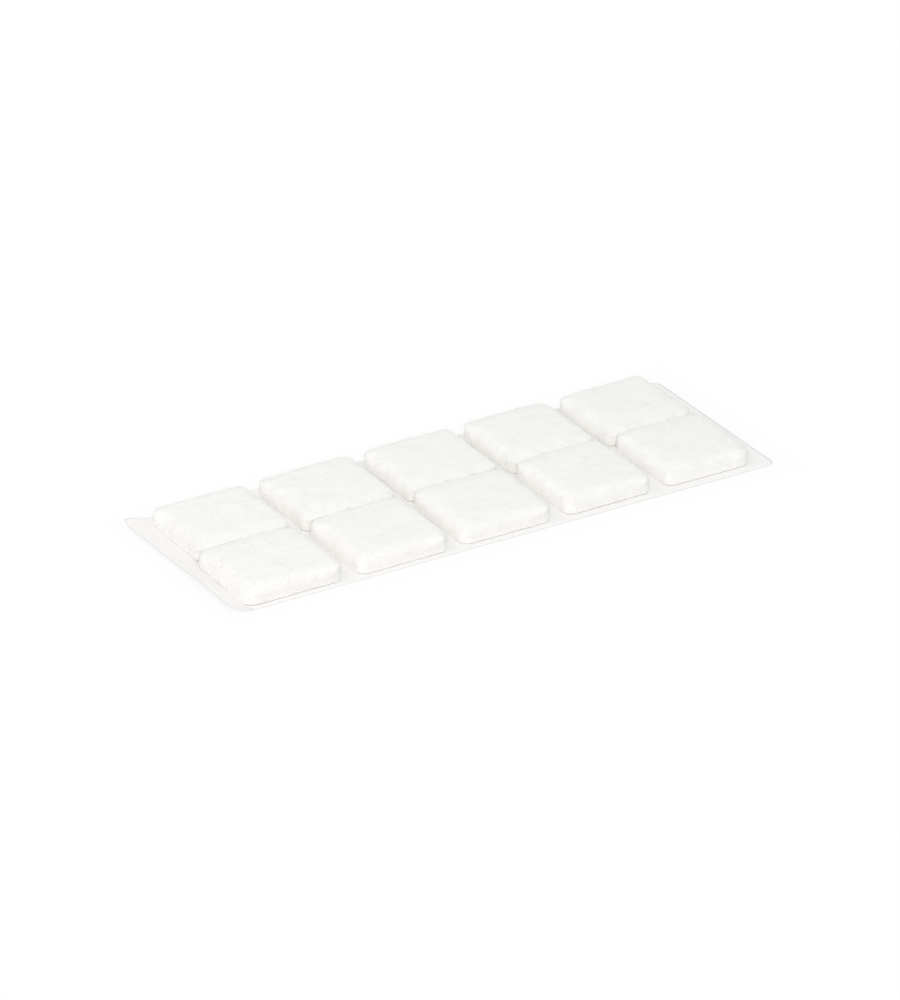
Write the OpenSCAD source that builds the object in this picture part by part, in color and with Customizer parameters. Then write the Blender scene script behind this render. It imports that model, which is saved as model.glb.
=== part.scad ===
// Sheet of self-adhesive felt furniture sliders.
// Nearly square felt pads stand in two rows on a release liner. Each pad has its own film of
// adhesive under it, cut with it by the same die, and peels off the liner to go under a furniture leg.
// Millimetres, +Z up. The origin is the middle of the liner's underside, and X runs along the rows.

/* [Felt pads] */
// Length of one felt pad, along its row
pad_length = 25; // [15:0.5:40]
// Width of one felt pad, across the rows
pad_width = 25.8; // [15:0.1:40]
// Thickness of the felt alone
felt_thick = 4.2; // [3.2:0.1:8]
// Radius of the edge that the die rolls over round the top of the felt
top_edge_r = 1.2; // [0.8:0.1:2.5]
// Radius of the turned-in edge round the foot of the felt
foot_edge_r = 0.4; // [0.1:0.1:0.6]
// Corner radius of the flat top, inside the rolled edge
top_corner_r = 1.2; // [0.2:0.1:4]

/* [Adhesive] */
// Thickness of the adhesive film under each pad
glue_thick = 0.3; // [0.1:0.05:1]
// How far the film's cut edge lies inside the edge of the felt
glue_inset = 0.4; // [0.1:0.05:0.8]

/* [Layout] */
// Pads in each row
columns = 5; // [1:1:10]
// Gap between neighbouring pads along a row
column_gap = 5; // [1:0.5:12]
// Gap between the front row and the back row, which one cut of the die parts
row_gap = 0.4; // [0.3:0.1:12]

/* [Release liner] */
// Thickness of the liner sheet
liner_thick = 0.15; // [0.08:0.01:0.5]
// Bare strip past the last pad at each end of the sheet
end_margin = 6.4; // [3:0.1:20]
// Bare strip past the pads along each side of the sheet
side_margin = 2.6; // [2.5:0.1:20]
// Radius of the sheet's corners
sheet_corner_r = 1; // [0.2:0.1:2]
// Angle that the sheet's cut edges make with the rows of pads, in degrees
sheet_turn = -0.6; // [-1:0.1:1]
// Depth of the score that the die leaves in the liner round each pad
score_depth = 0.04; // [0.01:0.01:0.06]
// Width of that score
score_width = 0.2; // [0.1:0.05:0.4]

/* [Hidden] */
$fn = 48;
row_names = ["front", "back"];
row_count = len(row_names);
// Corner radius of a pad seen from above, and the straight runs of its sides between the corners
pad_corner_r = top_corner_r + top_edge_r;
length_run = pad_length - 2 * pad_corner_r;
width_run = pad_width - 2 * pad_corner_r;
// Angle that the felt's section turns through at a corner
corner_turn = 90;
// Upright part of the felt's side, between its rolled top edge and its turned-in foot
upright = felt_thick - top_edge_r - foot_edge_r;
// The adhesive film has the pad's own outline, drawn in all round
glue_length = pad_length - 2 * glue_inset;
glue_width = pad_width - 2 * glue_inset;
glue_corner_r = pad_corner_r - glue_inset;
felt_foot_z = liner_thick + glue_thick;
// Distance from one pad's middle to the next
column_pitch = pad_length + column_gap;
row_pitch = pad_width + row_gap;
rows_length = columns * pad_length + (columns - 1) * column_gap;
rows_width = row_count * pad_width + (row_count - 1) * row_gap;
sheet_length = rows_length + 2 * end_margin;
sheet_width = rows_width + 2 * side_margin;
// Overrun of a cut past the face that it opens
overrun = 0.5;

// Node names, counted from the left end of each row
function pad_name(row, column) = str("felt_pad_", row_names[row], "_", column + 1);
function glue_name(row, column) = str("adhesive_", row_names[row], "_", column + 1);

// Middle of a pad seen from above, with the whole array centred on the origin
function pad_place(row, column) = [
    (column - (columns - 1) / 2) * column_pitch,
    (row - (row_count - 1) / 2) * row_pitch
];

// Rectangle with round corners, centred on the origin
module rounded_outline(length, width, corner_r) {
    square([length - 2 * corner_r, width], center = true);
    square([length, width - 2 * corner_r], center = true);
    for (x = [-1, 1]) {
        for (y = [-1, 1]) {
            translate([x * (length / 2 - corner_r), y * (width / 2 - corner_r)]) circle(corner_r);
        }
    }
}

// Quarter of a disc, in the first quadrant
module quarter_disc(r) {
    intersection() {
        circle(r);
        square(r);
    }
}

// Section of the felt from a centre line out to its edge: turned-in foot, upright side, rolled top
module felt_section(reach) {
    square([reach - top_edge_r, felt_thick]);
    square([reach - foot_edge_r, foot_edge_r + upright]);
    translate([0, foot_edge_r]) square([reach, upright]);
    translate([reach - top_edge_r, felt_thick - top_edge_r]) quarter_disc(top_edge_r);
    translate([reach - foot_edge_r, foot_edge_r]) mirror([0, 1]) quarter_disc(foot_edge_r);
}

// Section of the whole felt, from edge to edge
module whole_section(across) {
    felt_section(across / 2);
    mirror([1, 0]) felt_section(across / 2);
}

// One felt pad, standing on its foot: the section runs straight along the sides and turns at the corners
module felt_form() {
    rotate([90, 0, 0]) linear_extrude(width_run, center = true) whole_section(pad_length);
    rotate([90, 0, 90]) linear_extrude(length_run, center = true) whole_section(pad_width);
    for (x = [-1, 1]) {
        for (y = [-1, 1]) {
            translate([x * length_run / 2, y * width_run / 2]) rotate(atan2(y, x) - corner_turn / 2)
                rotate_extrude(angle = corner_turn) felt_section(pad_corner_r);
        }
    }
}

// Cut line that the die presses into the liner, along the edge of one pad's adhesive
module score() {
    translate([0, 0, liner_thick - score_depth]) linear_extrude(score_depth + overrun) difference() {
        rounded_outline(glue_length + score_width, glue_width + score_width, glue_corner_r + score_width / 2);
        rounded_outline(glue_length - score_width, glue_width - score_width, glue_corner_r - score_width / 2);
    }
}

// Siliconised sheet that carries the pads, cut a little out of line with them and scored round each one
module release_liner() {
    color("whitesmoke") difference() {
        rotate(sheet_turn) linear_extrude(liner_thick) rounded_outline(sheet_length, sheet_width, sheet_corner_r);
        for (row = [0:row_count - 1]) {
            for (column = [0:columns - 1]) {
                translate(pad_place(row, column)) score();
            }
        }
    }
}

// Film of adhesive that stays on the underside of a pad when it is peeled off
module adhesive(row, column) {
    color("oldlace") translate([each pad_place(row, column), liner_thick]) linear_extrude(glue_thick)
        rounded_outline(glue_length, glue_width, glue_corner_r);
}

// Felt pad, glide face up, on its adhesive film
module felt_pad(row, column) {
    color("snow") translate([each pad_place(row, column), felt_foot_z]) felt_form();
}

release_liner();
for (row = [0:row_count - 1]) {
    for (column = [0:columns - 1]) {
        felt_pad(row, column);
        adhesive(row, column);
    }
}
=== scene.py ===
"""Sheet of self-adhesive felt furniture sliders, dressed around its solids.

Nearly square pads of white needle felt stand in two rows on a siliconised liner. Each pad is a lumpy felt
with a rolled edge, loose fibres and a film of adhesive under it, and all three lift off the liner together.
Every length is in metres, in the part's own frame.
"""

import logging
import math
from dataclasses import dataclass
from enum import Enum
from functools import reduce
from typing import Any, Mapping, Optional, Sequence, Union

import bmesh
import bpy
import numpy as np
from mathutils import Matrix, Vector, noise


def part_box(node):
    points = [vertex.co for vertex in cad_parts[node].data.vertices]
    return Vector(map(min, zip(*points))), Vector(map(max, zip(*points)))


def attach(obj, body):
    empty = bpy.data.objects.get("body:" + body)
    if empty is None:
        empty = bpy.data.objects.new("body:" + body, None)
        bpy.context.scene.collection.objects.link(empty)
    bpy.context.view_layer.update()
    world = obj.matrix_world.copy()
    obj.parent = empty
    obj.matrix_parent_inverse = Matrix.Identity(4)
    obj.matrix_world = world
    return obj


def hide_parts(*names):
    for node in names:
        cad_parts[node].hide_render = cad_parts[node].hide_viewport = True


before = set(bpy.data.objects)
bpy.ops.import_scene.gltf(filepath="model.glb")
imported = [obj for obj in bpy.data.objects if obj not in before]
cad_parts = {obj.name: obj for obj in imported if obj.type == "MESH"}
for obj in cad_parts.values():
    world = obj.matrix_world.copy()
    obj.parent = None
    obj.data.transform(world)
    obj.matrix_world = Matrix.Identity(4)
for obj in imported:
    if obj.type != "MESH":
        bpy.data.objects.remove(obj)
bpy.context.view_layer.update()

LOG = logging.getLogger("slider_sheet")
MM = 0.001
# A length below TINY counts as nothing, and points closer together than WELD are one point
TINY = 1e-9
WELD = 1e-6
# Decimals that tell one row or column of pads from the next
PLACE_DIGITS = 6
# The pads of a row, counted from its left end
COLUMNS = range(1, 6)
WHITE = (1.0, 1.0, 1.0, 1.0)
# Strength at which white that is looked at shows as plain white
PLAIN = 1.0

Colour = tuple[float, float, float, float]
Place = tuple[float, float, float]
Span = tuple[float, float]
Face = tuple[int, ...]
Value = Union["Shade", float]
Sockets = Mapping[Union[str, int], Any]
Material = bpy.types.Material
Piece = bpy.types.Object


class Row(Enum):
    """The two rows of pads, by the word in their names."""

    FRONT = "front"
    BACK = "back"


class FibreLie(Enum):
    """How a loose fibre lies on the felt."""

    LOOP = "loop"
    STRAY = "stray"


# How much further left than their solids these pads are cut
LEFT_OVERCUT = {
    (Row.FRONT, 1): 1.9 * MM,
    (Row.FRONT, 2): 0.6 * MM,
    (Row.FRONT, 3): 0.5 * MM,
    (Row.BACK, 1): 1.0 * MM,
    (Row.BACK, 2): 0.3 * MM,
    (Row.BACK, 5): 0.5 * MM,
}
# How much further right than their solids these pads are cut
RIGHT_OVERCUT = {
    (Row.FRONT, 3): 0.4 * MM,
    (Row.BACK, 2): 1.1 * MM,
    (Row.BACK, 3): 0.7 * MM,
    (Row.BACK, 4): 0.15 * MM,
}
# How far short of their solids the pads of the back row end at the back
BACK_UNDERCUT = 0.8 * MM
# Added to the seeds of the back row, so that no two pads are alike
BACK_SEED = 10


class Shade:
    """One output of a shader node, with arithmetic that adds Math nodes."""

    def __init__(self, bench: "NodeBench", socket: Optional[bpy.types.NodeSocket]) -> None:
        """Wraps an output in the bench's tree, or nothing for a node that ends the tree."""
        self.bench = bench
        self.socket = socket

    def _math(self, operation: str, *values: Value) -> "Shade":
        """Adds a Math node on the given values, in their order."""
        return self.bench.node("ShaderNodeMath", {"operation": operation}, dict(enumerate(values)))

    def __add__(self, other: Value) -> "Shade":
        """This plus other."""
        return self._math("ADD", self, other)

    __radd__ = __add__

    def __sub__(self, other: Value) -> "Shade":
        """This minus other."""
        return self._math("SUBTRACT", self, other)

    def __rsub__(self, other: Value) -> "Shade":
        """Other minus this."""
        return self._math("SUBTRACT", other, self)

    def __mul__(self, other: Value) -> "Shade":
        """This times other."""
        return self._math("MULTIPLY", self, other)

    __rmul__ = __mul__

    def __pow__(self, other: Value) -> "Shade":
        """This to the power of other."""
        return self._math("POWER", self, other)

    def __abs__(self) -> "Shade":
        """This without its sign."""
        return self._math("ABSOLUTE", self)

    def larger(self, other: Value) -> "Shade":
        """The larger of this and other."""
        return self._math("MAXIMUM", self, other)

    def folded(self, step: float) -> "Shade":
        """This, going back and forth between 0 and a step."""
        return self._math("PINGPONG", self, step)


class NodeBench:
    """Adds nodes to one shader tree."""

    def __init__(self, tree: bpy.types.NodeTree) -> None:
        """Clears the tree, ready for its nodes."""
        self.tree = tree
        tree.nodes.clear()

    @staticmethod
    def _find(sockets: Any, key: Union[str, int]) -> bpy.types.NodeSocket:
        """The socket in use that has this name, or stands at this place.

        Args:
            sockets: a node's inputs or outputs.
            key: a name or an index.

        Returns:
            The socket.
        """
        if isinstance(key, int):
            return sockets[key]
        return next(socket for socket in sockets if socket.name == key and socket.enabled)

    def node(
        self,
        kind: str,
        settings: Optional[Mapping[str, Any]] = None,
        sockets: Optional[Sockets] = None,
        output: Union[str, int] = 0,
    ) -> Shade:
        """Adds a node of any kind: its settings first, and then its sockets.

        Args:
            kind: the node's type name.
            settings: attributes of the node.
            sockets: a value or a Shade for each input, by name or index.
            output: the output to return.

        Returns:
            That output.
        """
        made = self.tree.nodes.new(kind)
        for name, value in (settings or {}).items():
            setattr(made, name, value)
        for key, value in (sockets or {}).items():
            socket = self._find(made.inputs, key)
            if isinstance(value, Shade):
                self.tree.links.new(value.socket, socket)
            else:
                socket.default_value = value
        found = self._find(made.outputs, output) if made.outputs else None
        return Shade(self, found)

    def place(self) -> Shade:
        """The point being shaded, in the part's own frame."""
        return self.node("ShaderNodeTexCoord", output="Object")

    def axis(self, name: str) -> Shade:
        """One coordinate of the point being shaded."""
        return self.node("ShaderNodeSeparateXYZ", None, {0: self.place()}, name)

    def vector(self, operation: str, sockets: Sockets) -> Shade:
        """Adds a Vector Math node."""
        return self.node("ShaderNodeVectorMath", {"operation": operation}, sockets)

    def noise(
        self, size: float, detail: float = 2.0, vector: Optional[Shade] = None, output: Union[str, int] = 0
    ) -> Shade:
        """Soft noise in blotches of a size, from 0 to 1; it is read where the vector says, or in place."""
        sockets = {"Vector": vector or self.place(), "Scale": 1 / size, "Detail": detail}
        return self.node("ShaderNodeTexNoise", None, sockets, output)

    def ramp(self, value: Shade, span: Span, first: float = 0.0, last: float = 1.0) -> Shade:
        """A result that goes from its first to its last level while a value crosses a span."""
        levels = {"From Min": span[0], "From Max": span[1], "To Min": first, "To Max": last}
        return self.node("ShaderNodeMapRange", None, {"Value": value, **levels})

    def blend(self, factor: Shade, first: Union[Shade, Colour], second: Union[Shade, Colour]) -> Shade:
        """A colour between two: the first where the factor is 0 and the second where it is 1."""
        sockets = {"Factor": factor, "A": first, "B": second}
        return self.node("ShaderNodeMix", {"data_type": "RGBA"}, sockets, "Result")

    def bump(self, height: Shade, depth: float, strength: float) -> Shade:
        """A normal roughened by a height from 0 to 1, with what 1 measures and how much of it shows."""
        return self.node("ShaderNodeBump", None, {"Height": height, "Distance": depth, "Strength": strength})

    def principled(self, sockets: Sockets) -> Shade:
        """Adds the shader of an ordinary surface."""
        return self.node("ShaderNodeBsdfPrincipled", None, sockets)

    def mixed(self, share: Shade, first: Shade, second: Shade) -> Shade:
        """A shader between two: the first where the share is 0 and the second where it is 1."""
        return self.node("ShaderNodeMixShader", None, {0: share, 1: first, 2: second})

    def surface(self, shader: Shade, kind: str = "ShaderNodeOutputMaterial") -> None:
        """Ends the tree with a shader as its surface."""
        self.node(kind, None, {"Surface": shader})

    def seen_directly(self) -> Shade:
        """1 for the rays that show a backdrop: from the camera, in a reflection or through glass."""
        names = ("Is Camera Ray", "Is Glossy Ray", "Is Transmission Ray")
        return reduce(Shade.larger, [self.node("ShaderNodeLightPath", output=name) for name in names])


@dataclass(frozen=True)
class Finish:
    """What all finishes share: a name, and a material that is made from their own shader."""

    name: str

    def shader(self, bench: NodeBench) -> Shade:
        """The finish's shader, which each kind of finish builds on the bench."""
        raise NotImplementedError

    def make(self) -> Material:
        """Builds the material.

        Returns:
            The material.
        """
        material = bpy.data.materials.new(self.name)
        material.use_nodes = True
        bench = NodeBench(material.node_tree)
        bench.surface(self.shader(bench))
        return material


@dataclass(frozen=True)
class FeltFinish(Finish):
    """White needle felt: matted strands in several directions, soft clouds of density, a downy sheen."""

    name: str = "white_felt"
    pale: Colour = (0.951, 0.949, 0.922, 1.0)
    deep: Colour = (0.898, 0.893, 0.862, 1.0)
    strand_length: float = 2.4 * MM
    strand_width: float = 0.22 * MM
    strand_angles: tuple[float, ...] = (12.0, 71.0, 133.0)
    strand_detail: float = 1.0
    strand_power: int = 3
    curl: float = 0.9 * MM
    cloud_size: float = 4.5 * MM
    cloud_detail: float = 3.0
    pore_size: float = 0.45 * MM
    pore_detail: float = 3.0
    cloud_share: float = 0.5
    pore_share: float = 0.3
    strand_share: float = 0.2
    density: Span = (0.3, 0.62)
    roughness: float = 0.98
    strand_gloss: float = 0.12
    specular: float = 0.2
    sheen: float = 0.22
    sheen_roughness: float = 0.6
    strand_height: float = 0.6
    pore_height: float = 0.4
    bump_depth: float = 0.16 * MM
    bump_strength: float = 0.35

    def strands(self, bench: NodeBench) -> Shade:
        """Ridges like matted strands.

        Args:
            bench: the material's bench.

        Returns:
            A height from 0 to 1, highest along the strands.
        """
        drift = bench.noise(self.strand_length, output="Color")
        shift = bench.vector("SCALE", {0: drift, "Scale": self.curl})
        curled = bench.vector("ADD", {0: bench.place(), 1: shift})
        scale = (1 / self.strand_length, 1 / self.strand_width, 1 / self.strand_width)
        ridges = []
        for angle in self.strand_angles:
            sockets = {"Vector": curled, "Angle": math.radians(angle)}
            along = bench.node("ShaderNodeVectorRotate", {"rotation_type": "Z_AXIS"}, sockets)
            grain = bench.noise(1.0, self.strand_detail, bench.vector("MULTIPLY", {0: along, 1: scale}))
            ridges.append((1 - abs(2 * grain - 1)) ** self.strand_power)
        return reduce(Shade.larger, ridges)

    def shader(self, bench: NodeBench) -> Shade:
        """The felt's shader.

        Args:
            bench: the material's bench.

        Returns:
            The shader.
        """
        strands = self.strands(bench)
        pores = bench.noise(self.pore_size, self.pore_detail)
        clouds = bench.noise(self.cloud_size, self.cloud_detail)
        dense = self.cloud_share * clouds + self.pore_share * pores + self.strand_share * strands
        height = self.strand_height * strands + self.pore_height * pores
        return bench.principled(
            {
                "Base Color": bench.blend(bench.ramp(dense, self.density), self.deep, self.pale),
                "Roughness": self.roughness - self.strand_gloss * strands,
                "Specular IOR Level": self.specular,
                "Sheen Weight": self.sheen,
                "Sheen Roughness": self.sheen_roughness,
                "Sheen Tint": WHITE,
                "Normal": bench.bump(height, self.bump_depth, self.bump_strength),
            }
        )


@dataclass(frozen=True)
class FibreFinish(Finish):
    """Single felt fibres: paler than the felt, with a slight shine that varies along them."""

    name: str = "felt_fibre"
    pale: Colour = (0.985, 0.98, 0.965, 1.0)
    deep: Colour = (0.945, 0.935, 0.91, 1.0)
    blotch: float = 1.2 * MM
    blotch_detail: float = 1.0
    roughness: float = 0.55
    roughness_spread: float = 0.3
    sheen: float = 0.2

    def shader(self, bench: NodeBench) -> Shade:
        """The fibres' shader.

        Args:
            bench: the material's bench.

        Returns:
            The shader.
        """
        blotches = bench.noise(self.blotch, self.blotch_detail)
        return bench.principled(
            {
                "Base Color": bench.blend(blotches, self.deep, self.pale),
                "Roughness": self.roughness + self.roughness_spread * blotches,
                "Sheen Weight": self.sheen,
            }
        )


@dataclass(frozen=True)
class AdhesiveFinish(Finish):
    """Tacky film: milky, a little yellow, glossy, with the felt's fibres pressing through it."""

    name: str = "adhesive_film"
    clear: Colour = (0.80, 0.775, 0.69, 1.0)
    milky: Colour = (0.89, 0.875, 0.82, 1.0)
    patch: float = 2.2 * MM
    patch_detail: float = 3.0
    patch_share: float = 0.7
    dimple: float = 0.5 * MM
    dimple_share: float = 0.3
    roughness: float = 0.22
    roughness_spread: float = 0.25
    bump_depth: float = 0.06 * MM
    bump_strength: float = 0.5

    def shader(self, bench: NodeBench) -> Shade:
        """The film's shader.

        Args:
            bench: the material's bench.

        Returns:
            The shader.
        """
        patches = bench.noise(self.patch, self.patch_detail)
        dimples = bench.noise(self.dimple)
        cloudy = self.patch_share * patches + self.dimple_share * dimples
        return bench.principled(
            {
                "Base Color": bench.blend(cloudy, self.clear, self.milky),
                "Roughness": self.roughness + self.roughness_spread * dimples,
                "Normal": bench.bump(dimples, self.bump_depth, self.bump_strength),
            }
        )


@dataclass(frozen=True)
class LinerFinish(Finish):
    """Siliconised release paper: cloudy white stock under a thin, satin release coat."""

    name: str = "release_paper"
    pale: Colour = (0.963, 0.955, 0.943, 1.0)
    thin: Colour = (0.928, 0.92, 0.908, 1.0)
    # Painted shade: the sheet is coloured darker where it stands off the table, over this span of heights
    raised: Colour = (0.92, 0.911, 0.897, 1.0)
    lift_shade_height: Span = (0.2 * MM, 0.8 * MM)
    # Painted shade at the back ends of some gaps between the columns: its colour, and where it lies across
    # the gap, at the back and along the sheet
    gap_shade: Colour = (0.855, 0.84, 0.81, 1.0)
    gap_shade_across: Span = (10.5 * MM, 12.5 * MM)
    gap_shade_back: Span = (23.5 * MM, 25.5 * MM)
    gap_shade_start: Span = (-33.0 * MM, -30.0 * MM)
    gap_shade_end: Span = (57.0 * MM, 60.0 * MM)
    half_pitch: float = 15.0 * MM
    cloud: float = 2.6 * MM
    cloud_detail: float = 4.0
    cloud_share: float = 0.75
    fleck: float = 0.35 * MM
    fleck_share: float = 0.25
    roughness: float = 0.34
    roughness_spread: float = 0.2
    coat: float = 0.1
    coat_spread: float = 0.12
    coat_roughness: float = 0.25
    fleck_height: float = 0.6
    cloud_height: float = 0.4
    bump_depth: float = 0.02 * MM
    bump_strength: float = 0.4

    def gap_shade_share(self, bench: NodeBench) -> Shade:
        """How much painted shade lies on the sheet: a little at the back ends of some gaps between the
        columns, where the pads shade the liner.

        Args:
            bench: the material's bench.

        Returns:
            From 0 to 1.
        """
        along = bench.axis("X")
        in_gap = bench.ramp(along.folded(self.half_pitch), self.gap_shade_across)
        at_back = bench.ramp(bench.axis("Y"), self.gap_shade_back)
        past_start = bench.ramp(along, self.gap_shade_start)
        before_end = bench.ramp(along, self.gap_shade_end, 1.0, 0.0)
        return in_gap * at_back * past_start * before_end

    def shader(self, bench: NodeBench) -> Shade:
        """The liner's shader.

        Args:
            bench: the material's bench.

        Returns:
            The shader.
        """
        clouds = bench.noise(self.cloud, self.cloud_detail)
        flecks = bench.noise(self.fleck)
        stock = bench.blend(self.cloud_share * clouds + self.fleck_share * flecks, self.thin, self.pale)
        # Painted shade: the liner is coloured darker at the back ends of some gaps between the columns, where
        # the pads shade it
        stock = bench.blend(self.gap_shade_share(bench), stock, self.gap_shade)
        # Painted shade: the sheet is darker the higher it stands off the table
        lift_shade = bench.ramp(bench.axis("Z"), self.lift_shade_height)
        height = self.fleck_height * flecks + self.cloud_height * clouds
        return bench.principled(
            {
                "Base Color": bench.blend(lift_shade, stock, self.raised),
                "Roughness": self.roughness + self.roughness_spread * clouds,
                "Coat Weight": self.coat + self.coat_spread * flecks,
                "Coat Roughness": self.coat_roughness,
                "Normal": bench.bump(height, self.bump_depth, self.bump_strength),
            }
        )


@dataclass(frozen=True)
class FloorFinish(Finish):
    """White table top that reads as plain white and keeps a soft part of the shadow."""

    name: str = "table_top"
    seen: Colour = (0.96, 0.96, 0.96, 1.0)
    lighting: Colour = (0.6, 0.6, 0.6, 1.0)
    near_half: Span = (0.079, 0.029)
    near_share: float = 0.8
    fade: Span = (0.0, 0.008)

    def shader(self, bench: NodeBench) -> Shade:
        """The floor's shader.

        Args:
            bench: the material's bench.

        Returns:
            The shader.
        """
        colour = bench.blend(bench.seen_directly(), self.lighting, self.seen)
        lit = bench.node("ShaderNodeBsdfDiffuse", None, {"Color": colour})
        plain = bench.node("ShaderNodeEmission", None, {"Color": WHITE, "Strength": PLAIN})
        past_end = abs(bench.axis("X")) - self.near_half[0]
        past_side = abs(bench.axis("Y")) - self.near_half[1]
        plainness = bench.ramp(past_end.larger(past_side), self.fade, self.near_share)
        return bench.mixed(bench.seen_directly() * plainness, lit, plain)


class MeshDraft:
    """Points and faces collected for one mesh."""

    def __init__(self) -> None:
        """Starts empty."""
        self.points: list[np.ndarray] = []
        self.faces: list[Face] = []
        self.count = 0

    def add(self, points: np.ndarray, faces: Sequence[Face] = ()) -> list[int]:
        """Adds points, and faces that count from the first of them.

        Args:
            points: one point a row.
            faces: indices into these points.

        Returns:
            The points' indices in the whole mesh.
        """
        first = self.count
        self.points.append(points)
        self.count += len(points)
        self.faces += [tuple(first + index for index in face) for face in faces]
        return list(range(first, self.count))

    def strip(self, upper: Sequence[int], lower: Sequence[int], here: int) -> None:
        """Joins two loops, anticlockwise from above, by one face that looks out and starts here."""
        after = (here + 1) % len(upper)
        self.faces.append((lower[here], lower[after], upper[after], upper[here]))

    def band(self, upper: Sequence[int], lower: Sequence[int]) -> None:
        """Joins an upper loop and a lower or outer one by faces all round."""
        for here in range(len(upper)):
            self.strip(upper, lower, here)

    def cap(self, loop: Sequence[int], upwards: bool) -> None:
        """Closes a loop, anticlockwise from above, with one face that looks up or down."""
        self.faces.append(tuple(loop) if upwards else tuple(reversed(loop)))

    def make(self, name: str, weld: float = 0.0) -> Piece:
        """Makes a smooth mesh object at the origin.

        Args:
            name: the object's name.
            weld: points closer than this become one.

        Returns:
            The object.
        """
        mesh = bpy.data.meshes.new(name)
        mesh.from_pydata(np.concatenate(self.points).tolist(), [], self.faces)
        mesh.validate()
        mesh.shade_smooth()
        made = bpy.data.objects.new(name, mesh)
        bpy.context.scene.collection.objects.link(made)
        if weld:
            work = bmesh.new()
            work.from_mesh(mesh)
            bmesh.ops.remove_doubles(work, verts=work.verts, dist=weld)
            work.to_mesh(mesh)
            work.free()
        return made


def lumps(points: np.ndarray, size: float, seed: float) -> np.ndarray:
    """Smooth noise from -1 to 1 at some points, for lumps of a size; the seed moves the pattern."""
    return np.array([noise.noise(Vector(point)) for point in points / size + seed])


def ease(share: np.ndarray) -> np.ndarray:
    """Smooth step from 0 to 1, level past both ends."""
    held = np.clip(share, 0.0, 1.0)
    return held * held * (3 - 2 * held)


def near_edge(share: np.ndarray) -> np.ndarray:
    """Smooth step that starts halfway from the middle to an edge, where the share is 1."""
    return ease(2 * share - 1)


def bell(share: np.ndarray) -> np.ndarray:
    """Smooth fall from 1 that has mostly gone where the share is 1."""
    return np.exp(-(share**2))


def turned(points: np.ndarray, angle: float) -> np.ndarray:
    """Plane points turned about the origin, anticlockwise."""
    cos, sin = math.cos(angle), math.sin(angle)
    return points @ np.array([[cos, sin], [-sin, cos]])


def solid_box(node: str) -> tuple[np.ndarray, np.ndarray, float, float]:
    """A solid's middle and half size seen from above, its foot and its height."""
    low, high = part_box(node)
    return np.array((low + high)[:2]) / 2, np.array((high - low)[:2]) / 2, low.z, high.z - low.z


@dataclass(frozen=True)
class RoundedBox:
    """Outline of a rectangle with round corners, centred on the origin."""

    half: np.ndarray
    corner: float

    def at(self, unit: np.ndarray, inset: np.ndarray) -> tuple[np.ndarray, np.ndarray]:
        """Points of the outline, drawn in, and the way out of it there.

        Args:
            unit: points on the edges of the square from -1 to 1.
            inset: how far the outline is drawn in at each.

        Returns:
            The points and the outward directions, both in the plane.
        """
        half = np.maximum(self.half - inset[:, None], TINY)
        corner = np.maximum(self.corner - inset, TINY)[:, None]
        square = unit * half
        core = np.clip(square, corner - half, half - corner)
        away = square - core
        away /= np.maximum(np.linalg.norm(away, axis=1, keepdims=True), TINY * TINY)
        return core + away * corner, away

    @staticmethod
    def walk(per_side: int) -> np.ndarray:
        """Points round the square from -1 to 1, anticlockwise from its corner at +X, -Y.

        Args:
            per_side: how many points each side has.

        Returns:
            One point a row.
        """
        step = np.arange(per_side) / per_side * 2 - 1
        edge = np.ones(per_side)
        sides = [(edge, step), (-step, edge), (-edge, -step), (step, -edge)]
        return np.concatenate([np.stack(side, axis=1) for side in sides])


@dataclass(frozen=True)
class Section:
    """Section of a slab, one value a ring: the rings' places, and the way out of the slab there."""

    inset: np.ndarray
    height: np.ndarray
    outward: np.ndarray
    upward: np.ndarray


class Slab:
    """Slab with round corners whose top grid wraps over its edge."""

    def __init__(self, outline: RoundedBox, top: Section, side: Section) -> None:
        """Lays out the points of the slab, centred on the origin.

        Args:
            outline: the slab seen from above.
            top: its section from the middle of the top outwards.
            side: its section below that, down the side.
        """
        rings = len(top.inset) - 1
        steps = np.arange(-rings, rings + 1)
        across, along = np.meshgrid(steps, steps, indexing="ij")
        ring = np.maximum(abs(across), abs(along)).ravel()
        grid = np.stack([across.ravel(), along.ravel()], axis=1) / np.maximum(ring, 1)[:, None]
        walk = RoundedBox.walk(2 * rings)
        self.wide = len(steps)
        self.around = len(walk)
        self.turns = len(side.inset)
        self.rim = [self._at(*np.rint(point * rings).astype(int) + rings) for point in walk]
        unit = np.concatenate([grid, np.tile(walk, (self.turns, 1))])

        def spread(name: str) -> np.ndarray:
            """One of the sections' values at every point."""
            return np.concatenate([getattr(top, name)[ring], np.repeat(getattr(side, name), self.around)])

        flat, away = outline.at(unit, spread("inset"))
        self.points = np.column_stack([flat, spread("height")])
        self.normals = np.column_stack([away * spread("outward")[:, None], spread("upward")])

    def _at(self, across: int, along: int) -> int:
        """Index of a point of the top grid."""
        return across * self.wide + along

    def draft(self, points: np.ndarray) -> MeshDraft:
        """The slab's mesh, with its points where they are given.

        Args:
            points: the final place of each point.

        Returns:
            The closed mesh.
        """
        made = MeshDraft()
        last = self.wide - 1
        made.add(
            points,
            [
                (self._at(x, y), self._at(x + 1, y), self._at(x + 1, y + 1), self._at(x, y + 1))
                for x in range(last)
                for y in range(last)
            ],
        )
        loop = self.rim
        for turn in range(self.turns):
            start = self.wide * self.wide + turn * self.around
            lower = list(range(start, start + self.around))
            made.band(loop, lower)
            loop = lower
        made.cap(loop, upwards=False)
        return made


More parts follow.
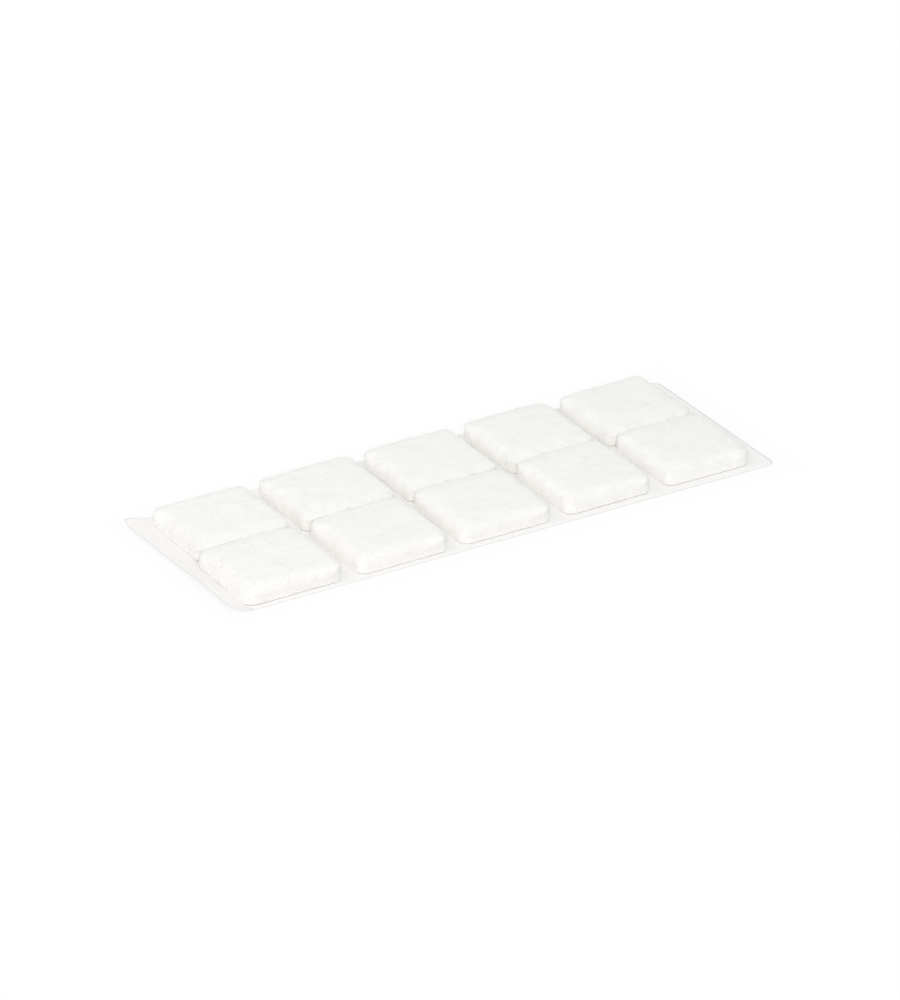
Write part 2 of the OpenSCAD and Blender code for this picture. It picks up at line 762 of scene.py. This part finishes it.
@dataclass(frozen=True)
class PadPlace:
    """Which pad of the sheet a piece belongs to."""

    row: Row
    column: int

    @property
    def tag(self) -> str:
        """The end of its names."""
        return f"{self.row.value}_{self.column}"

    @property
    def body(self) -> str:
        """The body that its pieces ride on."""
        return f"pad_{self.tag}"

    @property
    def felt_node(self) -> str:
        """Its felt solid."""
        return f"felt_pad_{self.tag}"

    @property
    def glue_node(self) -> str:
        """Its adhesive solid."""
        return f"adhesive_{self.tag}"

    @property
    def inwards(self) -> int:
        """The way along Y to the other row."""
        return 1 if self.row is Row.FRONT else -1

    @property
    def seed(self) -> int:
        """A number of its own for its unevenness."""
        return self.column + (BACK_SEED if self.row is Row.BACK else 0)

    def cut(self, points: np.ndarray, half: np.ndarray) -> np.ndarray:
        """Points about the pad's middle, moved to where the die cut it: longer in its row, short at the back.

        Args:
            points: one point a row.
            half: half of the pad's length and width before.

        Returns:
            The moved points.
        """
        left, right = (table.get((self.row, self.column), 0.0) for table in (LEFT_OVERCUT, RIGHT_OVERCUT))
        back = BACK_UNDERCUT if self.row is Row.BACK else 0.0
        moved = points.copy()
        moved[:, 0] *= 1 + np.where(points[:, 0] < 0, left, right) / half[0]
        moved[:, 1] *= np.where(points[:, 1] > 0, 1 - back / half[1], 1.0)
        return moved


@dataclass
class FeltPad:
    """One felt pad with its loose fibres."""

    place: PadPlace
    fill: float = 0.9
    corner: float = 2.6 * MM
    mesh_step: float = 0.31 * MM
    # Crowned top, and a rolled edge that is tighter on some sides
    crown_slope: float = math.radians(4.5)
    crown_power: int = 4
    top_roll: float = 3.6 * MM
    tight_roll: float = 0.7 * MM
    right_tightness: float = 1.0
    front_tightness: float = 0.05
    back_tightness: float = 1.0
    crease_tightness: float = 0.92
    # Crease between the rows, where one cut parts the pads
    crease_gap: float = 0.03 * MM
    crease_bulge: float = 0.4 * MM
    crease_bulge_turn: float = 0.6
    crease_dip: float = 0.25 * MM
    crease_width: float = 2.6 * MM
    crease_end_power: int = 8
    # Side, and the skirt that hides the adhesive
    bulge: float = 0.08 * MM
    flare: float = 0.06 * MM
    skirt_drop: float = 0.28 * MM
    skirt_turn: float = 0.05 * MM
    skirt_width: float = 0.3 * MM
    skirt_rings: int = 3
    front_opening: float = 0.08 * MM
    left_opening: float = 0.07 * MM
    # Unevenness of each pad
    lump_sizes: tuple[float, ...] = (8.0 * MM, 3.0 * MM, 1.2 * MM)
    lump_heights: tuple[float, ...] = (0.17 * MM, 0.1 * MM, 0.035 * MM)
    lump_seed: float = 37.0
    corner_drop: float = 0.45 * MM
    corner_drop_share: Span = (0.2, 1.0)
    corner_reach: float = 5.0 * MM
    shift: float = 0.18 * MM
    turn: float = math.radians(0.7)
    # Loose fibres: loops with both ends in the felt, and strays with one
    fibre_count: int = 800
    fibre_length: Span = (1.2 * MM, 3.6 * MM)
    fibre_radius: float = 0.015 * MM
    fibre_rise: float = 0.2 * MM
    fibre_rise_share: Span = (0.35, 1.0)
    fibre_sink: float = 0.04 * MM
    fibre_bend: float = 0.8 * MM
    fibre_rings: int = 5
    fibre_sides: int = 3
    stray_share: float = 0.3
    stray_length: float = 0.7
    stray_rise: float = 1.4
    stray_power: float = 1.5
    clear_of_liner: float = 0.03 * MM

    def __post_init__(self) -> None:
        """Takes the pad's size and place from its solid."""
        self.middle, self.half, self.foot, self.thick = solid_box(self.place.felt_node)
        self.random = np.random.default_rng(self.place.seed)

    def _sections(self, top_roll: float) -> tuple[Section, Section]:
        """The felt's section: crowned top and rolled edge, then bulging side and a skirt round the adhesive.

        Args:
            top_roll: the radius of the rolled edge; the count of rings doesn't follow it.

        Returns:
            The section of the top with its roll, and the section below that.
        """
        short = self.half.min()
        top_rings = round((short - self.top_roll) / self.mesh_step)
        roll_rings = round(self.top_roll * math.pi / 2 / self.mesh_step)
        side_rings = round((self.thick - self.top_roll) / self.mesh_step)
        reach = short - top_roll * (1 - math.sin(self.crown_slope))
        fall = math.tan(self.crown_slope) * reach / self.crown_power
        side_top = self.thick - fall - top_roll * math.cos(self.crown_slope)
        side_foot = self.skirt_turn - self.skirt_drop
        out = np.linspace(0, 1, top_rings + 1)
        tilt = np.arctan(math.tan(self.crown_slope) * out ** (self.crown_power - 1))
        roll = np.linspace(self.crown_slope, math.pi / 2, roll_rings + 1)[1:]
        lean = np.concatenate([tilt, roll])
        top = Section(
            np.concatenate([short - reach * out, top_roll * (1 - np.sin(roll))]),
            np.concatenate([self.thick - fall * out**self.crown_power, side_top + top_roll * np.cos(roll)]),
            np.sin(lean),
            np.cos(lean),
        )
        down = np.linspace(0, 1, side_rings + 1)[1:]
        tuck = np.linspace(0, math.pi / 2, self.skirt_rings + 1)[1:]
        inset = np.concatenate(
            [
                -self.bulge * np.sin(math.pi * down) ** 2 - self.flare * down,
                self.skirt_turn * (1 - np.cos(tuck)) - self.flare,
                [self.skirt_width, self.skirt_width],
            ]
        )
        height = np.concatenate(
            [
                side_top + (side_foot - side_top) * down,
                side_foot - self.skirt_turn * np.sin(tuck),
                [-self.skirt_drop, 0.0],
            ]
        )
        return top, Section(inset, height, np.ones(len(inset)), np.zeros(len(inset)))

    def _towards_crease(self, points: np.ndarray) -> np.ndarray:
        """How far points belong to the edge that faces the other row.

        Args:
            points: points about the pad's middle.

        Returns:
            From 0 to 1, and 0 at the pad's corners.
        """
        facing = points[:, 1] * self.place.inwards / self.half[1]
        along = np.abs(points[:, 0] / self.half[0]).clip(0, 1)
        return near_edge(facing) * (1 - along**self.crease_end_power)

    def _slab(self) -> Slab:
        """The even pad, whose edge is rolled most on the left and least on the right.

        Returns:
            The slab, centred on the origin.
        """
        outline = RoundedBox(self.half, self.corner)
        slab = Slab(outline, *self._sections(self.top_roll))
        tight = Slab(outline, *self._sections(self.tight_roll))
        if self.place.row is Row.FRONT:
            front, back = self.front_tightness, self.crease_tightness
        else:
            front, back = self.crease_tightness, self.back_tightness
        out = slab.points[:, :2] / self.half
        soft = 1 - self.right_tightness * near_edge(out[:, 0])
        soft *= 1 - front * near_edge(-out[:, 1])
        soft *= 1 - back * near_edge(out[:, 1])
        share = 1 - soft[:, None]
        slab.points = slab.points + share * (tight.points - slab.points)
        slab.normals = slab.normals + share * (tight.normals - slab.normals)
        return slab

    def _uneven(self, slab: Slab) -> np.ndarray:
        """The slab's points with the felt's lumps, dropped corners and slight turn.

        Args:
            slab: the even slab.

        Returns:
            Its points in the part's frame.
        """
        points = slab.points.copy()
        seed = self.lump_seed * self.place.seed
        for size, height in zip(self.lump_sizes, self.lump_heights):
            points += slab.normals * (lumps(slab.points, size, seed) * height)[:, None]
        # The cut face towards the other row bulges
        swell = np.sin(math.pi * np.clip(points[:, 2] / self.thick * self.crease_bulge_turn, 0, 1)) ** 2
        points[:, 1] += self.place.inwards * self.crease_bulge * swell * self._towards_crease(points)
        # The skirt stands a little off the liner at the front, and at the left end of each row
        hang = np.clip(-points[:, 2] / self.skirt_drop, 0, 1)
        points[:, 2] += self.front_opening * hang * near_edge(-points[:, 1] / self.half[1])
        if self.place.column == COLUMNS[0]:
            points[:, 2] += self.left_opening * hang * near_edge(-points[:, 0] / self.half[0])
        # The top dips along the crease and drops at the corners
        lift = ease(points[:, 2] / self.thick)
        from_crease = self.half[1] - self.place.inwards * points[:, 1]
        points[:, 2] -= self.crease_dip * lift * bell(from_crease / self.crease_width)
        for x in (-1, 1):
            for y in (-1, 1):
                away = np.linalg.norm(points[:, :2] - self.half * np.array([x, y]), axis=1)
                drop = self.corner_drop * self.random.uniform(*self.corner_drop_share)
                points[:, 2] -= drop * lift * bell(away / self.corner_reach)
        points = self.place.cut(points, self.half)
        moved = turned(points[:, :2], self.turn * self.random.uniform(-1, 1)) + self.middle
        moved += self.random.uniform(-self.shift, self.shift, 2)
        return self._clear(np.column_stack([moved, points[:, 2] + self.foot]), self.crease_gap)

    def _clear(self, points: np.ndarray, gap: float) -> np.ndarray:
        """Points kept on their own side of the crease between the rows.

        Args:
            points: points in the part's frame.
            gap: how far they stay from the plane between the rows.

        Returns:
            The points, pressed flat where they would pass it.
        """
        inwards = self.place.inwards
        points[:, 1] = inwards * np.minimum(inwards * points[:, 1], -gap)
        return points

    def _fibre_path(
        self, root: np.ndarray, normal: np.ndarray, lie: FibreLie
    ) -> tuple[np.ndarray, np.ndarray]:
        """The middle line of one loose fibre.

        Args:
            root: a point on the felt.
            normal: the way out of the felt there.
            lie: how the fibre lies.

        Returns:
            Its points, and the direction across it along the felt.
        """
        guess = np.cross(normal, self.random.normal(size=3))
        along = guess / np.linalg.norm(guess)
        across = np.cross(normal, along)
        length = self.random.uniform(*self.fibre_length)
        bend = self.fibre_bend * self.random.uniform(-1, 1) * length / self.fibre_length[1]
        rise = self.fibre_rise * self.random.uniform(*self.fibre_rise_share)
        share = np.linspace(-1, 1, self.fibre_rings)
        if lie is FibreLie.LOOP:
            height = rise * (1 - share**2) - self.fibre_sink
        else:
            share = (share + 1) / 2
            height = rise * self.stray_rise * share**self.stray_power - self.fibre_sink
            length *= self.stray_length
        line = root + np.outer(share * length / 2, along) + np.outer(bend * share**2, across)
        return line + np.outer(height, normal), across

    def _fibres(self, points: np.ndarray, normals: np.ndarray) -> MeshDraft:
        """Loose fibres, as thin closed strands that start and mostly end in the felt.

        Args:
            points: the felt's points.
            normals: the way out of the felt at each.

        Returns:
            The mesh of all the strands.
        """
        made = MeshDraft()
        lowest = self.foot - self.skirt_drop + self.clear_of_liner
        raised = np.flatnonzero(points[:, 2] > self.foot)
        corner = np.arange(self.fibre_sides) / self.fibre_sides * 2 * math.pi
        for index in self.random.choice(raised, self.fibre_count, replace=False):
            normal = normals[index] / np.linalg.norm(normals[index])
            lie = FibreLie.STRAY if self.random.uniform() < self.stray_share else FibreLie.LOOP
            line, across = self._fibre_path(points[index], normal, lie)
            line[:, 2] = np.maximum(line[:, 2], lowest)
            line = self._clear(line, self.crease_gap + self.fibre_radius)
            ring = self.fibre_radius * (np.outer(np.cos(corner), normal) + np.outer(np.sin(corner), across))
            loops = [made.add(point + ring) for point in line]
            for near, far in zip(loops, loops[1:]):
                made.band(far, near)
            made.cap(loops[-1], upwards=True)
            made.cap(loops[0], upwards=False)
        return made

    def build(self) -> tuple[Piece, Piece]:
        """Makes the felt and its fibres.

        Returns:
            The felt and the fibres.
        """
        slab = self._slab()
        points = self._uneven(slab)
        felt = slab.draft(points).make(f"felt_{self.place.tag}")
        fibres = self._fibres(points, slab.normals).make(f"felt_fibres_{self.place.tag}")
        return felt, fibres

    def dress(self, pieces: tuple[Piece, Piece], materials: tuple[Material, Material]) -> None:
        """Gives the pieces their finishes and their body.

        Args:
            pieces: the felt and its fibres.
            materials: the felt's material and the fibres'.
        """
        for piece, material in zip(pieces, materials):
            piece.data.materials.append(material)
            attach(piece, self.place.body)
        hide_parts(self.place.felt_node)


@dataclass
class AdhesiveFilm:
    """Film of adhesive under one pad, with a soft squeezed edge."""

    place: PadPlace
    corner: float = 2.2 * MM
    bulge: float = 0.06 * MM
    rings: int = 16
    edge_rings: int = 5
    ripple: float = 0.05 * MM
    ripple_size: float = 2.5 * MM
    ripple_seed: float = 53.0

    def __post_init__(self) -> None:
        """Takes the film's size and place from its solid."""
        self.middle, self.half, self.foot, self.thick = solid_box(self.place.glue_node)

    def build(self) -> Piece:
        """Makes the film.

        Returns:
            The film.
        """
        inset = np.linspace(self.half.min(), self.bulge, self.rings + 1)
        none, whole = np.zeros(len(inset)), np.ones(len(inset))
        top = Section(inset, self.thick * whole, none, whole)
        turn = np.linspace(-1, 1, self.edge_rings + 2)[1:]
        none, whole = np.zeros(len(turn)), np.ones(len(turn))
        side = Section(self.bulge * turn**2, self.thick * (1 - turn) / 2, whole, none)
        slab = Slab(RoundedBox(self.half, self.corner), top, side)
        ragged = self.ripple * lumps(slab.points, self.ripple_size, self.ripple_seed * self.place.seed)
        points = slab.points.copy()
        # Only the outline is ragged, so the faces stay flat
        points[:, :2] += slab.normals[:, :2] * ragged[:, None]
        points = self.place.cut(points, self.half) + np.array([*self.middle, self.foot])
        return slab.draft(points).make(f"adhesive_film_{self.place.tag}")

    def dress(self, film: Piece, material: Material) -> None:
        """Gives the film its finish and its body.

        Args:
            film: the film.
            material: the adhesive's material.
        """
        film.data.materials.append(material)
        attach(film, self.place.body)
        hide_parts(self.place.glue_node)


@dataclass(frozen=True)
class SheetCorner:
    """How one corner of the sheet is cut and how far it curls up."""

    side: tuple[int, int]
    radius: float
    lift: float


@dataclass
class ReleaseLiner:
    """The sheet that carries the pads: scored round each one and a little curled along its free edges."""

    places: Sequence[PadPlace]
    node: str = "release_liner"
    turn: float = math.radians(-0.6)
    corners: tuple[SheetCorner, ...] = (
        SheetCorner((-1, -1), radius=4.0 * MM, lift=0.3 * MM),
        SheetCorner((1, -1), radius=2.0 * MM, lift=0.02 * MM),
        SheetCorner((1, 1), radius=2.5 * MM, lift=0.02 * MM),
        SheetCorner((-1, 1), radius=0.8 * MM, lift=0.8 * MM),
    )
    # Score round each pad
    score_width: float = 0.22 * MM
    score_depth: float = 0.05 * MM
    score_corner: float = 2.0 * MM
    inner_lip: float = 0.5 * MM
    # Points on each side of a pad's share of the sheet, and rings from there to its score
    per_side: int = 44
    margin_rings: int = 9
    # Curl of the free edges, in waves
    left_lift: float = 1.75 * MM
    right_lift: float = 0.02 * MM
    side_lift: float = 0.08 * MM
    wave_size: float = 17.0 * MM
    wave_seed: float = 4.0
    wave_level: float = 0.55
    wave_swing: float = 0.45
    curl_reach: float = 7.0 * MM
    curl_power: float = 0.5
    row_blend: float = 6.0 * MM
    felt_overhang: float = 0.5 * MM
    # Cut of the edges
    left_slant: float = 0.8 * MM
    right_trim: float = 0.5 * MM
    front_trim: float = 0.3 * MM
    back_trim: float = 1.5 * MM

    def __post_init__(self) -> None:
        """Takes the sheet's size from its solid and the pads' places from theirs."""
        low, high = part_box(self.node)
        self.thick = high.z - low.z
        # The solid's box is larger than the sheet, because the sheet is turned in it
        cos, sin = math.cos(self.turn), abs(math.sin(self.turn))
        wide, deep = (high.x - low.x) / 2, (high.y - low.y) / 2
        self.half = np.array([wide * cos - deep * sin, deep * cos - wide * sin]) / (cos * cos - sin * sin)
        self.low = -self.half + np.array([0.0, self.front_trim])
        self.high = self.half - np.array([self.right_trim, self.back_trim])
        boxes = [solid_box(place.glue_node) for place in self.places]
        self.middles = [middle for middle, *_ in boxes]
        self.glue_half = boxes[0][1]
        self.pads_reach = np.max(np.abs(self.middles), axis=0) + self.glue_half
        edges = [LEFT_OVERCUT[row, COLUMNS[0]] for row in Row]
        self.left_starts = [-self.pads_reach[0] - edge - self.felt_overhang for edge in edges]

    def _lines(self, axis: int) -> np.ndarray:
        """The lines between the columns on axis 0 or the rows on axis 1, from edge to edge of the sheet."""
        places = np.unique(np.round([middle[axis] for middle in self.middles], PLACE_DIGITS))
        return np.concatenate([[self.low[axis]], (places[:-1] + places[1:]) / 2, [self.high[axis]]])

    def _cell(self, middle: np.ndarray, walk: np.ndarray) -> np.ndarray:
        """The border of one pad's share of the sheet, with the line between the rows kept true to the pads.

        Args:
            middle: the pad's middle.
            walk: points round the square from -1 to 1.

        Returns:
            The border's points, before the sheet is turned.
        """
        spans = []
        for axis in (0, 1):
            lines = self._lines(axis)
            after = int(np.searchsorted(lines, middle[axis]))
            spans.append((lines[after - 1], lines[after]))
        low, high = np.array(spans).T
        border = low + (walk + 1) / 2 * (high - low)
        inwards = 1 - np.maximum(border[:, 1] / self.low[1], border[:, 1] / self.high[1])
        border[:, 1] -= math.tan(self.turn) * border[:, 0] * inwards
        return border

    def _trimmed(self, points: np.ndarray) -> np.ndarray:
        """Sheet points with the corners cut round and the left end cut aslant, turned as the sheet lies.

        Args:
            points: points of the sheet before it is turned.

        Returns:
            The points in the part's frame.
        """
        radius = np.zeros((len(points), 1))
        for corner in self.corners:
            radius[np.all(points * np.array(corner.side) >= 0, axis=1)] = corner.radius
        core = np.clip(points, self.low + radius, self.high - radius)
        away = points - core
        reach = np.maximum(np.linalg.norm(away, axis=1, keepdims=True), TINY)
        cut = core + away * np.minimum(1, radius / reach)
        first_line = self._lines(0)[1]
        leftwards = np.clip((cut[:, 0] - first_line) / (self.low[0] - first_line), 0, 1)
        cut[:, 0] -= self.left_slant * leftwards * cut[:, 1] / self.half[1]
        return turned(cut, self.turn)

    def _lift(self, points: np.ndarray) -> np.ndarray:
        """How far the free edges of the sheet stand off the table.

        Args:
            points: plane points of the sheet.

        Returns:
            A height for each, nothing under the pads.
        """
        front_start, back_start = self.left_starts
        starts = np.tile(-self.pads_reach, (len(points), 1))
        starts[:, 0] = front_start + (back_start - front_start) * ease(0.5 + points[:, 1] / self.row_blend)
        past = np.maximum(starts - points, 0) / (starts - self.low)
        past += np.maximum(points - self.pads_reach, 0) / (self.high - self.pads_reach)
        flat = np.column_stack([points, np.zeros(len(points))])
        wave = self.wave_level + self.wave_swing * lumps(flat, self.wave_size, self.wave_seed)
        end_lift = np.where(points[:, 0] < 0, self.left_lift, self.right_lift)
        ends = end_lift * past[:, 0] ** self.curl_power * wave
        lift = ends + self.side_lift * ease(past[:, 1]) * wave
        for corner in self.corners:
            tip = turned((self.half * corner.side)[None, :], self.turn)
            away = np.linalg.norm(points - tip, axis=1)
            lift += corner.lift * ease(1 - away / self.curl_reach) * ease(past.max(axis=1))
        return lift

    def _sheet_side(
        self, made: MeshDraft, loops: Sequence[np.ndarray], heights: Sequence[float], up: bool
    ) -> list[int]:
        """One face of the sheet in one pad's cell, from its border inwards.

        Args:
            made: the mesh that it goes into.
            loops: plane loops from the border inwards.
            heights: each loop's height in the flat sheet.
            up: whether the face looks up.

        Returns:
            The border's indices.
        """
        indices = []
        for loop, height in zip(loops, heights):
            indices.append(made.add(np.column_stack([loop, height + self._lift(loop)])))
        for outer, inner in zip(indices, indices[1:]):
            made.band(*((inner, outer) if up else (outer, inner)))
        made.cap(indices[-1], upwards=up)
        return indices[0]

    def _rim(self, made: MeshDraft, over: Sequence[int], under: Sequence[int], cell: np.ndarray) -> None:
        """The cut edge of the sheet, where a cell's border is the sheet's own.

        Args:
            made: the mesh that it goes into.
            over: indices of the border's upper points.
            under: indices of its lower points.
            cell: the border before the sheet is trimmed and turned.
        """
        edge = np.any(np.minimum(cell - self.low, self.high - cell) < WELD, axis=1)
        for here in np.flatnonzero(edge & np.roll(edge, -1)):
            made.strip(over, under, here)

    def build(self) -> Piece:
        """Makes the sheet, cell by cell, and welds the cells.

        Returns:
            The sheet.
        """
        made = MeshDraft()
        walk = RoundedBox.walk(self.per_side)
        width = self.score_width
        score = RoundedBox(self.glue_half + width / 2, self.score_corner + width / 2)
        # From the score's outer lip over its floor to its inner lip, and on to the flat under the pad
        insets = (0.0, width / 2, width, width + self.inner_lip)
        score_heights = [self.thick - self.score_depth, self.thick, self.thick]
        shares = np.linspace(0, 1, self.margin_rings + 1)
        for middle in self.middles:
            cell = self._cell(middle, walk)
            border = self._trimmed(cell)
            lip, *within = [score.at(walk, np.full(len(walk), inset))[0] + middle for inset in insets]
            margin = [border + share * (lip - border) for share in shares]
            heights = [self.thick] * len(margin) + score_heights
            over = self._sheet_side(made, margin + within, heights, up=True)
            under = self._sheet_side(made, margin, [0.0] * len(margin), up=False)
            self._rim(made, over, under, cell)
        return made.make("liner_sheet", weld=WELD)

    def dress(self, sheet: Piece, material: Material) -> None:
        """Gives the sheet its finish and its body.

        Args:
            sheet: the sheet.
            material: the liner's material.
        """
        sheet.data.materials.append(material)
        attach(sheet, "liner")
        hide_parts(self.node)
        tuple(self.high - self.low)


@dataclass(frozen=True)
class Lamp:
    """Square soft light aimed at the middle of the sheet."""

    name: str
    place: Place
    size: float
    power: float
    tint: Colour


@dataclass
class Studio:
    """Camera, table top and soft light."""

    azimuth: float = math.radians(-31.587)
    elevation: float = math.radians(27.249)
    distance: float = 1.31483
    target: Place = (-3.128 * MM, -3.065 * MM, 0.15 * MM)
    lens: float = 188.6
    sensor: float = 36.0
    floor_half: float = 6.0
    floor_gap: float = 0.02 * MM
    ambient: float = 0.7945
    sky_tint: Colour = (0.967, 1.0, 0.995, 1.0)
    lamps: tuple[Lamp, ...] = (
        Lamp("key", place=(-0.28, 0.02, 0.34), size=0.2, power=0.18, tint=(1.0, 0.83, 0.83, 1.0)),
        Lamp("fill", place=(-0.9, -1.5, 0.95), size=0.8, power=12.3, tint=(1.0, 0.92, 0.93, 1.0)),
    )

    @staticmethod
    def _aim(data: Union[bpy.types.Camera, bpy.types.Light], place: Vector, ahead: Vector) -> Piece:
        """Sets up a camera or a light.

        Args:
            data: the camera or the light.
            place: where it stands or hangs.
            ahead: the way it looks.

        Returns:
            Its object.
        """
        made = bpy.data.objects.new(data.name, data)
        made.location = place
        made.rotation_euler = ahead.to_track_quat("-Z", "Y").to_euler()
        bpy.context.scene.collection.objects.link(made)
        return made

    def camera(self) -> None:
        """Makes the camera at the photograph's angle."""
        level, height = math.cos(self.elevation), math.sin(self.elevation)
        back = Vector((math.sin(self.azimuth) * level, -math.cos(self.azimuth) * level, height))
        data = bpy.data.cameras.new("camera")
        data.lens = self.lens
        data.sensor_width = self.sensor
        bpy.context.scene.camera = self._aim(data, Vector(self.target) + back * self.distance, -back)

    def floor(self) -> None:
        """Makes the table top."""
        corners = RoundedBox.walk(1) * self.floor_half
        draft = MeshDraft()
        draft.cap(draft.add(np.column_stack([corners, np.full(len(corners), -self.floor_gap)])), upwards=True)
        made = draft.make("table_top")
        made.data.materials.append(FloorFinish().make())

    def light(self, lamp: Lamp) -> None:
        """Makes one lamp.

        Args:
            lamp: the lamp.
        """
        data = bpy.data.lights.new(lamp.name, "AREA")
        data.shape = "SQUARE"
        data.size = lamp.size
        data.energy = lamp.power
        data.color = lamp.tint[:3]
        self._aim(data, Vector(lamp.place), -Vector(lamp.place))

    def sky(self) -> None:
        """Makes the even light all round, which looks white where it is seen."""
        world = bpy.data.worlds.new("World")
        world.use_nodes = True
        bpy.context.scene.world = world
        bench = NodeBench(world.node_tree)
        soft = bench.node("ShaderNodeBackground", None, {"Color": self.sky_tint, "Strength": self.ambient})
        plain = bench.node("ShaderNodeBackground", None, {"Color": WHITE, "Strength": PLAIN})
        bench.surface(bench.mixed(bench.seen_directly(), soft, plain), "ShaderNodeOutputWorld")

    def build(self) -> None:
        """Makes everything round the object."""
        bpy.context.scene.view_settings.view_transform = "Standard"
        self.camera()
        self.floor()
        for lamp in self.lamps:
            self.light(lamp)
        self.sky()


def report(piece: Piece) -> None:
    """Logs a finished piece."""
    LOG.info("%s: %d points", piece.name, len(piece.data.vertices))


def main() -> None:
    """Builds the studio, the liner and the pads in order."""
    logging.basicConfig(level=logging.INFO)
    Studio().build()
    places = [PadPlace(row, column) for row in Row for column in COLUMNS]
    liner = ReleaseLiner(places)
    sheet = liner.build()
    liner.dress(sheet, LinerFinish().make())
    report(sheet)
    pad_materials = FeltFinish().make(), FibreFinish().make()
    film_material = AdhesiveFinish().make()
    for place in places:
        pad = FeltPad(place)
        pieces = pad.build()
        pad.dress(pieces, pad_materials)
        film = AdhesiveFilm(place)
        backing = film.build()
        film.dress(backing, film_material)
        for piece in (*pieces, backing):
            report(piece)


if __name__ == "__main__":
    main()
